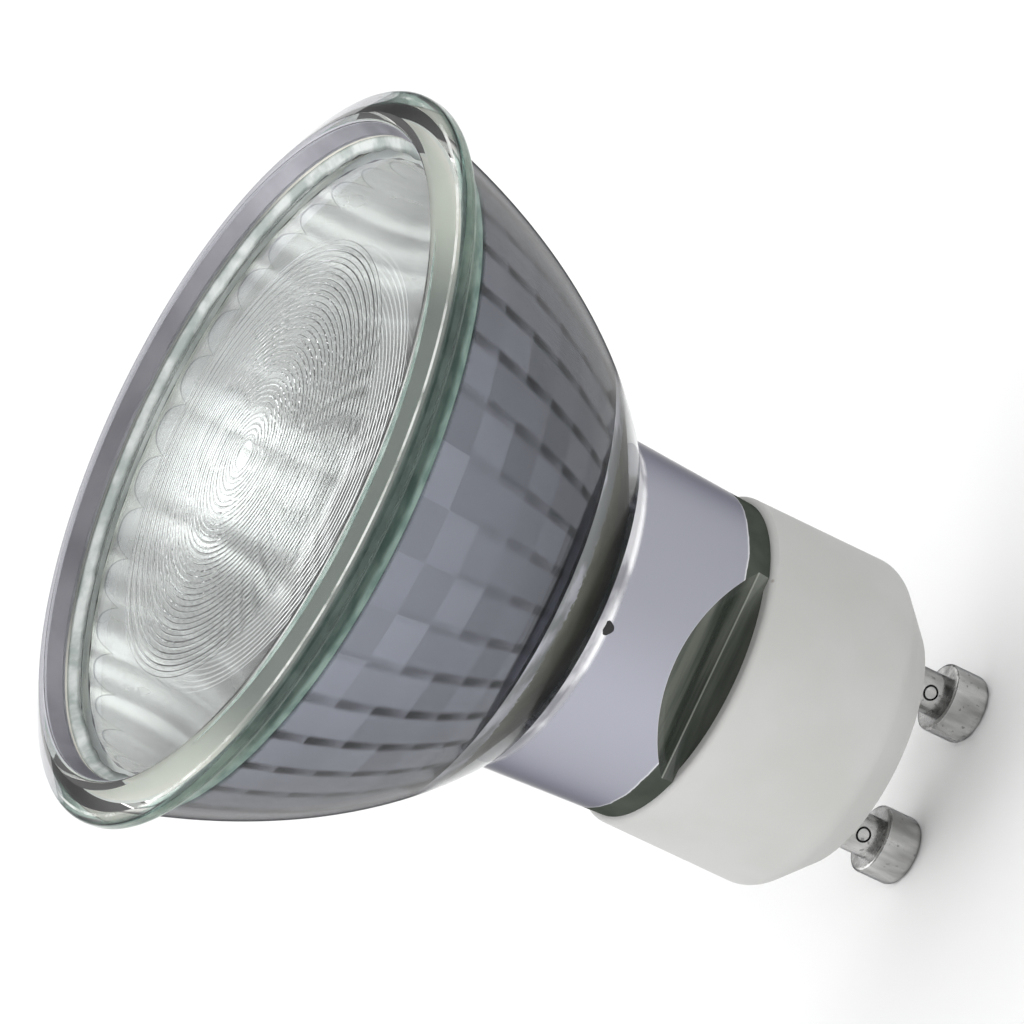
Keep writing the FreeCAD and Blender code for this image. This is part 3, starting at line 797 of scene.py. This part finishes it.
def mark_facets(bm, first_ring):
    """Gives each facet a tone, partly painted light and shade, and its corners their places across and along
    it, for the coat's material.
    """
    step = SEGMENTS // FACET_COLUMNS
    chance = random.Random(FACET_SEED)
    tone = bm.faces.layers.float.new("tone")
    place = bm.loops.layers.uv.new("facet")
    bm.faces.ensure_lookup_table()
    for row in range(FACET_ROWS):
        for column in range(FACET_COLUMNS):
            angle = FACET_PHASE + 2 * math.pi * (column + 0.5) / FACET_COLUMNS
            # Painted light and shade: facets lighter towards -X and darker row by row away from the mouth
            painted_light_tone = FACET_TONE - FACET_PAINTED_LIGHT_ROUND * math.cos(angle) - FACET_PAINTED_SHADE_ROW * row
            value = painted_light_tone + FACET_TONE_CHEQUER * ((row + column) % 2) + FACET_TONE_CHANCE * chance.random()
            first_face = (first_ring + row) * SEGMENTS + column * step
            for face in bm.faces[first_face:first_face + step]:
                face[tone] = value
                for loop in face.loops:
                    ring, i = divmod(loop.vert.index, SEGMENTS)
                    loop[place].uv = (((i - column * step) % SEGMENTS) / step, ring - first_ring - row)


def flat_cutter(side):
    """Prism that takes away what lies beside one flat of the neck."""
    ramp_top = FLAT_FOLD_Z + (CUTTER_REACH - FLAT_OFFSET) / math.tan(FLAT_RAMP_ANGLE)
    outline = [
        (FLAT_OFFSET, CUTTER_LOW_Z),
        (FLAT_OFFSET, FLAT_FOLD_Z),
        (CUTTER_REACH, ramp_top),
        (CUTTER_REACH, CUTTER_LOW_Z),
    ]
    bm = bmesh.new()
    ends = []
    for x in (-CUTTER_REACH, CUTTER_REACH):
        ends.append([bm.verts.new((x * MM, side * y * MM, z * MM)) for y, z in outline])
    bm.faces.new(ends[0])
    bm.faces.new(ends[1])
    for i in range(len(outline)):
        j = (i + 1) % len(outline)
        bm.faces.new((ends[0][i], ends[0][j], ends[1][j], ends[1][i]))
    for face in bm.faces:
        face.material_index = BARE
    bmesh.ops.recalc_face_normals(bm, faces=bm.faces)
    return new_object("flat_cutter", bm, REFLECTOR_MATERIALS, smooth=False)


def make_film(name, line, faceted, material):
    """Thin coat inside the glass along a profile line. Its first points are faceted, and hollowed as flutes."""
    front = [Vector((r - 2 * FILM_THICKNESS, z)) for r, z in line]
    back = [Vector((r - FILM_THICKNESS, z)) for r, z in reversed(line)]

    def shape(k, i, r, z):
        if min(k, 2 * len(line) - 1 - k) >= faceted:
            return r, z
        hollow = 1 - abs(math.sin(FACET_COLUMNS * math.pi * i / SEGMENTS))
        return r * chord(i) - FLUTE_DEPTH * hollow, z

    bm = turned(front + back, [0] * (2 * len(line)), shape=shape)
    if faceted:
        mark_facets(bm, 0)
    film = new_object(name, bm, [material])
    film.data.set_sharp_from_angle(angle=FILM_SHARP_ANGLE)
    dress(film)


def make_films():
    """Mirror on the facets and the floor's upper part, and the silvered mouth above the bead."""
    share = (FACET_END_Z - FLOOR_COAT_END_Z) / (FACET_END_Z - NECK_HOLE_TOP_Z)
    end_radius = FACET_END_RADIUS + (NECK_HOLE_RADIUS - FACET_END_RADIUS) * share
    mirror = facet_rows() + [(end_radius, FLOOR_COAT_END_Z + HAIRLINE)]
    make_film("mirror_film", mirror, FACET_ROWS + 1, coat_front)
    mouth = [
        (CREST_INSIDE_RADIUS - MOUTH_FILM_INSET, CREST_Z - MOUTH_FILM_DROP),
        (MOUTH_RADIUS, CREST_Z - MOUTH_FLARE_HEIGHT),
        (MOUTH_RADIUS, LENS_EDGE_Z + BEAD_HEIGHT),
    ]
    make_film("mouth_film", mouth, 0, lilac_coat)


# Lens and bead


def lens_front(radius):
    """Height of the lens dome, before its rings, at a radius."""
    return LENS_EDGE_Z + LENS_DOME_RISE * (1 - (radius / LENS_DOME_RADIUS) ** 2)


def make_lens():
    ring_end = RING_START + GROOVE_COUNT * GROOVE_PITCH
    seat = LENS_SEAT_Z + HAIRLINE
    profile = [Vector((0, seat))]
    profile += [Vector((r, seat)) for r in spaced(LENS_BACK_START, LENS_RADIUS - LENS_CHAMFER, LENS_BACK_STEPS)]
    profile += [Vector((LENS_RADIUS, seat + LENS_CHAMFER)), Vector((LENS_RADIUS, LENS_EDGE_Z))]
    profile += [Vector((r, lens_front(r))) for r in spaced(LENS_DOME_RADIUS, ring_end, LENS_PLAIN_STEPS)]
    for groove in reversed(range(GROOVE_COUNT)):
        for across in reversed(GROOVE_PLACES):
            r = RING_START + (groove + across) * GROOVE_PITCH
            depth_share = max(0.0, 1 - (min(across, 1 - across) / GROOVE_HALF) ** 2)
            profile.append(Vector((r, lens_front(r) - GROOVE_DEPTHS[groove % 2] * depth_share)))
    profile.append(Vector((0, lens_front(RING_START))))
    bm = turned(profile, [0] * len(profile), closed=False)
    lens = new_object("ringed_lens", bm, [lens_glass])
    lens.data.set_sharp_from_angle(angle=LENS_SHARP_ANGLE)
    dress(lens, "front_lens")


def make_bead():
    """Bead of silicone round the lens, with an uneven inner edge."""
    low = LENS_EDGE_Z + HAIRLINE
    outer = MOUTH_RADIUS - HAIRLINE
    middle = (LENS_DOME_RADIUS + outer) / 2
    profile = [
        Vector((LENS_DOME_RADIUS + BEAD_FOOT, low)),
        Vector((middle + BEAD_MIDDLE_SHIFT, low + BEAD_MIDDLE_RISE)),
        Vector((outer - BEAD_WALL_GAP, low + BEAD_WALL_RISE)),
        Vector((outer, low + BEAD_TOP_RISE)),
        Vector((outer, low)),
    ]

    def shape(k, i, r, z):
        angle = 2 * math.pi * i / SEGMENTS
        waves = noise.noise(Vector((BEAD_WAVES * math.cos(angle), BEAD_WAVES * math.sin(angle), 0.6 * k)))
        swells = noise.noise(Vector((BEAD_SWELLS * math.cos(angle), BEAD_SWELLS * math.sin(angle), 5.0)))
        return r + BEAD_LOOSENESS[k] * (0.6 * waves + 0.6 * swells), z

    bm = turned(profile, [0] * len(profile), shape=shape)
    dress(new_object("glue_bead", bm, [silicone]), "lens_adhesive")


# Small things: the coiled filament and a scorched speck on the shoulder


def arch_point(distance):
    """Point of the filament's arch, and its two cross directions, at a distance from the left foot."""
    foot_z = bottom_of("filament")
    bend_z = foot_z + ARCH_LEG
    bend = math.pi * ARCH_HALF_SPAN
    across = Vector((0, 1, 0))
    if distance < ARCH_LEG:
        return Vector((-ARCH_HALF_SPAN, 0, foot_z + distance)), Vector((1, 0, 0)), across
    if distance > ARCH_LEG + bend:
        return Vector((ARCH_HALF_SPAN, 0, bend_z - (distance - ARCH_LEG - bend))), Vector((-1, 0, 0)), across
    angle = math.pi - (distance - ARCH_LEG) / ARCH_HALF_SPAN
    outward = Vector((math.cos(angle), 0, math.sin(angle)))
    return Vector((0, 0, bend_z)) + outward * ARCH_HALF_SPAN, -outward, across


def make_coil():
    length = 2 * ARCH_LEG + math.pi * ARCH_HALF_SPAN
    turns = round(length / COIL_PITCH)
    count = turns * COIL_TURN_STEPS
    path = []
    for step in range(count + 1):
        middle, inward, across = arch_point(COIL_WIRE_RADIUS + (length - 2 * COIL_WIRE_RADIUS) * step / count)
        turn = 2 * math.pi * step / COIL_TURN_STEPS
        from_end = min(step, count - step) / COIL_TURN_STEPS
        radius = min(COIL_RADIUS, COIL_START_RADIUS + COIL_START_GROWTH * from_end)
        path.append(middle + (inward * math.cos(turn) + across * math.sin(turn)) * radius)
    bm = bmesh.new()
    rings = []
    for step, point in enumerate(path):
        ahead = (path[min(step + 1, count)] - path[max(step - 1, 0)]).normalized()
        side = ahead.cross(arch_point(length * step / count)[0] - point).normalized()
        up = side.cross(ahead)
        ring = []
        for n in range(COIL_SIDES):
            angle = 2 * math.pi * n / COIL_SIDES
            spoke = side * math.cos(angle) + up * math.sin(angle)
            ring.append(bm.verts.new((point + spoke * COIL_WIRE_RADIUS) * MM))
        rings.append(ring)
    for low, high in zip(rings, rings[1:]):
        for n in range(COIL_SIDES):
            m = (n + 1) % COIL_SIDES
            bm.faces.new((low[n], low[m], high[m], high[n]))
    bm.faces.new(rings[0])
    bm.faces.new(rings[-1])
    bmesh.ops.recalc_face_normals(bm, faces=bm.faces)
    dress(new_object("filament_coil", bm, [tungsten]), "filament")


def make_speck():
    bm = bmesh.new()
    bmesh.ops.create_icosphere(bm, subdivisions=3, radius=1.0)
    for vert in bm.verts:
        uneven = 1 + SPECK_UNEVENNESS * noise.noise(vert.co * SPECK_WAVES)
        vert.co = (SPECK_PLACE + vert.co * SPECK_HALF * uneven) * MM
    dress(new_object("scorch_speck", bm, [soot]))


make_reflector()
make_films()
make_lens()
make_bead()
make_coil()
make_speck()

# Materials of the CAD pieces that keep their own shape
for node, material in {
    "ceramic_base": ceramic,
    "base_cement": cement,
    "neck_cement": cement,
    "contact_pin_left": pin_nickel,
    "contact_pin_right": pin_nickel,
    "connecting_wire_left": nickel,
    "connecting_wire_right": nickel,
    "capsule_envelope": quartz,
    "filament_support": molybdenum,
    "lead_in_left": molybdenum,
    "lead_in_right": molybdenum,
    "foil_left": molybdenum,
    "foil_right": molybdenum,
    "outer_lead_left": molybdenum,
    "outer_lead_right": molybdenum,
}.items():
    nodes[node].data.materials.clear()
    nodes[node].data.materials.append(material)


# Floor, light and camera

FLOOR_HALF = 4000.0
FLOOR_TONE = 0.9
WORLD_LOW = 0.28
WORLD_HIGH = 1.65
WORLD_TILT = 0.4
STRIP_CENTRE = Vector((0.0, 0.45, 0.89))
STRIP_EDGE = (0.5, 0.95)
STRIP_RISE = (0.05, 0.45)
KEY_LAMP = {"place": (100, -640, 285), "aim": (0, 0, 25), "size": 600, "power": 2.3}
FILL_LAMP = {"place": (-520, -350, 120), "aim": (0, 0, 15), "size": 400, "power": 1.1}


def make_floor():
    tone = (FLOOR_TONE, FLOOR_TONE, FLOOR_TONE, 1)
    material = node_material("floor", base_color=tone, roughness=0.9, specular_ior_level=0.0)[0]
    bm = bmesh.new()
    bmesh.ops.create_grid(bm, x_segments=1, y_segments=1, size=FLOOR_HALF * MM)
    new_object("floor", bm, [material], smooth=False)


def make_light(name, place, aim, size, power, through_glass):
    """Round soft lamp without a mirror image. through_glass says whether it is seen through glass."""
    data = bpy.data.lights.new(name, "AREA")
    data.shape = "DISK"
    data.size = size * MM
    data.energy = power
    lamp = bpy.data.objects.new(name, data)
    lamp.location = Vector(place) * MM
    lamp.rotation_mode = "QUATERNION"
    lamp.rotation_quaternion = (Vector(aim) - Vector(place)).to_track_quat("-Z", "Y")
    lamp.visible_glossy = False
    lamp.visible_transmission = through_glass
    scene.collection.objects.link(lamp)


def make_world():
    """Studio surroundings: dim, with a wide soft strip along X, overhead and behind, brighter towards -X."""
    world = bpy.data.worlds.new("studio")
    world.use_nodes = True
    tree = world.node_tree
    direction = add(tree, "ShaderNodeTexCoord").outputs["Generated"]
    x, _, z = split(tree, direction)
    along = add(tree, "ShaderNodeVectorMath", operation="DOT_PRODUCT")
    along.inputs[1].default_value = STRIP_CENTRE.normalized()
    tree.links.new(direction, along.inputs[0])
    from_x = sum_of(tree, "SQRT", less(tree, 1.0, times(tree, x, x)))
    strip = between(tree, sum_of(tree, "DIVIDE", along.outputs["Value"], from_x), *STRIP_EDGE)
    strip = times(tree, strip, between(tree, z, *STRIP_RISE))
    level = sum_of(tree, "MULTIPLY_ADD", strip, WORLD_HIGH - WORLD_LOW, WORLD_LOW)
    tilt = less(tree, 1.0, times(tree, x, WORLD_TILT))
    background = tree.nodes["Background"]
    background.inputs["Color"].default_value = (1, 1, 1, 1)
    tree.links.new(times(tree, level, tilt), background.inputs["Strength"])
    scene.world = world


def make_camera():
    data = bpy.data.cameras.new("camera")
    data.lens = CAMERA_LENS
    data.clip_start, data.clip_end = CAMERA_CLIP
    camera = bpy.data.objects.new("camera", data)
    camera.location = CAMERA_PLACE
    camera.rotation_mode = "QUATERNION"
    level = (CAMERA_AIM - CAMERA_PLACE).to_track_quat("-Z", "Y")
    camera.rotation_quaternion = level @ Quaternion((0, 0, 1), -CAMERA_ROLL)
    scene.collection.objects.link(camera)
    scene.camera = camera


make_floor()
make_light("key", **KEY_LAMP, through_glass=True)
make_light("fill", **FILL_LAMP, through_glass=False)
make_world()
make_camera()
scene.view_settings.view_transform = "Standard"
